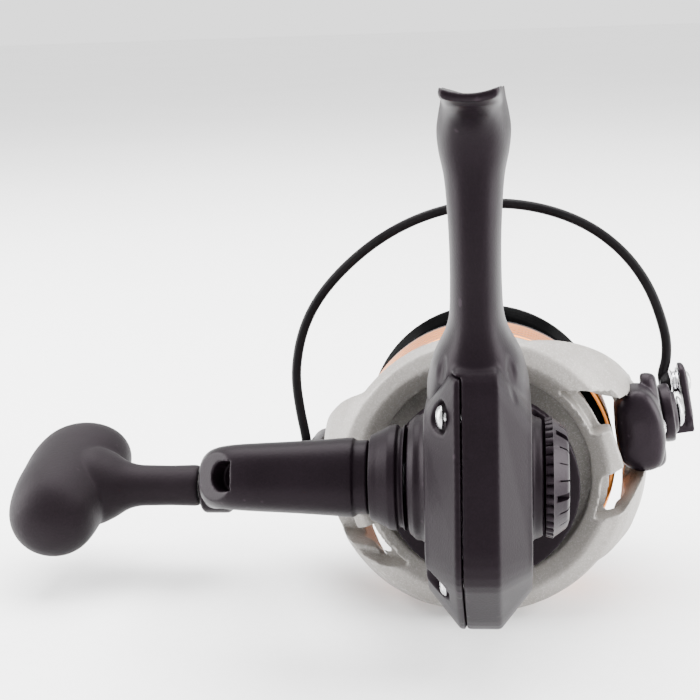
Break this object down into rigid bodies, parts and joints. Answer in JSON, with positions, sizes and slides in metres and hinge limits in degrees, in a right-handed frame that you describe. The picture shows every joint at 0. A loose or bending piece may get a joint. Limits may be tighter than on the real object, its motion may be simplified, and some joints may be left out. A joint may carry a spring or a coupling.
{
  "type": "fishing reel",
  "caption": "Spinning reel: foot and stem on a housing, folding wire bail on a two-arm rotor, gold-skirted spool with front drag knob, crank handle with a T-shaped grip.",
  "frame": {"origin": "middle of the foot's saddle, at the bottom of its groove, where the rod lies", "axes": "+Y forwards along the main shaft, towards the rod tip; -X the side of the handle; +Z from the spool to the rod. The foot leans 3.6 degrees from +Y, its front end lower"},
  "size_m": [0.1532, 0.124, 0.1145],
  "materials": {
    "charcoal_paint": "satin charcoal paint",
    "soft_touch": "matte soft-touch rubber",
    "silver_paint": "satin silver paint with a fine grain",
    "gold_anodised": "gold anodised, satin",
    "black_anodised": "black anodised",
    "dark_plastic": "satin dark grey plastic",
    "steel": "turned steel",
    "chrome": "polished",
    "brass": "machined brass",
    "zinc": null,
    "white_resin": "acetal resin",
    "carbon": "woven carbon fibre drag disc"
  },
  "bodies": {
    "frame": {"body_frame": "charcoal_paint", "side_cover": "charcoal_paint", "cover_screw_upper_rear": "steel", "cover_screw_lower_rear": "steel", "cover_screw_upper_front": "steel", "cover_screw_lower_front": "steel", "drive_bearing_left": "steel", "drive_bearing_right": "steel", "shaft_cap": "dark_plastic", "pinion_bearing": "steel", "anti_reverse_clutch": "steel", "clutch_retainer": "zinc", "retainer_screw_1": "steel", "retainer_screw_2": "steel", "retainer_screw_3": "steel", "slider_guide_rod": "steel", "oscillation_axle": "steel"},
    "drive": {"drive_shaft": "steel", "drive_gear": "zinc", "oscillation_pinion": "brass", "handle_collar": "charcoal_paint", "handle_arm": "charcoal_paint", "knob_spindle": "steel"},
    "knob": {"knob_grip": "soft_touch", "knob_bush_inner": "white_resin", "knob_bush_outer": "white_resin"},
    "idler": {"oscillation_gear": "white_resin"},
    "rotor": {"rotor": "silver_paint", "rotor_nut": "brass", "pinion_gear": "brass", "clutch_sleeve": "steel", "arm_cover_right": "dark_plastic", "arm_cover_left": "dark_plastic", "arm_cover_screw_right": "steel", "arm_cover_screw_left": "steel", "bail_pivot_screw_right": "steel", "bail_pivot_screw_left": "steel"},
    "bail": {"bail_arm": "dark_plastic", "bail_foot": "dark_plastic", "bail_wire": "black_anodised", "roller_screw": "steel"},
    "line_roller": {"line_roller": "chrome"},
    "shaft": {"main_shaft": "steel", "oscillation_slider": "zinc", "slider_screw": "steel", "spool_washer": "steel", "drag_plate_1": "steel", "drag_plate_2": "steel"},
    "spool": {"spool": "black_anodised", "spool_skirt": "gold_anodised", "spool_bearing": "steel", "drag_washer_1": "carbon", "drag_washer_2": "carbon", "drag_washer_3": "carbon", "drag_retainer": "steel", "line_clip": "dark_plastic"},
    "drag_knob": {"drag_knob": "dark_plastic"}
  },
  "joints": [
    {"name": "rotor_spin", "type": "hinge", "parent": "frame", "child": "rotor", "pos_m": [0, 0.04, -0.081], "axis": [0, 1, 0], "continuous": true},
    {"name": "handle_spin", "type": "hinge", "parent": "frame", "child": "drive", "pos_m": [0, 0.007, -0.0732], "axis": [1, 0, 0], "continuous": true},
    {"name": "oscillation_gear_spin", "type": "hinge", "parent": "frame", "child": "idler", "pos_m": [-0.006, -0.0048, -0.076], "axis": [1, 0, 0], "continuous": true},
    {"name": "shaft_slide", "type": "slide", "parent": "frame", "child": "shaft", "axis": [0, 1, 0], "range_m": [-0.0056, 0.0056]},
    {"name": "spool_spin", "type": "hinge", "parent": "shaft", "child": "spool", "pos_m": [0, 0.06, -0.081], "axis": [0, 1, 0], "continuous": true},
    {"name": "drag_knob_turn", "type": "hinge", "parent": "shaft", "child": "drag_knob", "pos_m": [0, 0.08, -0.081], "axis": [0, 1, 0], "range_deg": [-720, 180]},
    {"name": "knob_spin", "type": "hinge", "parent": "drive", "child": "knob", "pos_m": [-0.095, 0.05392, -0.09046], "axis": [1, 0, 0], "continuous": true},
    {"name": "bail_swing", "type": "hinge", "parent": "rotor", "child": "bail", "pos_m": [0, 0.06, -0.081], "axis": [0.9903, 0, 0.1392], "range_deg": [-105, 0]},
    {"name": "line_roller_spin", "type": "hinge", "parent": "bail", "child": "line_roller", "pos_m": [0.04328, 0.069, -0.07068], "axis": [0.9903, 0, 0.1392], "continuous": true}
  ],
  "couplings": [
    {"joint": "handle_spin", "follows": "rotor_spin", "ratio": -0.19149},
    {"joint": "oscillation_gear_spin", "follows": "rotor_spin", "ratio": 0.10445}
  ]
}
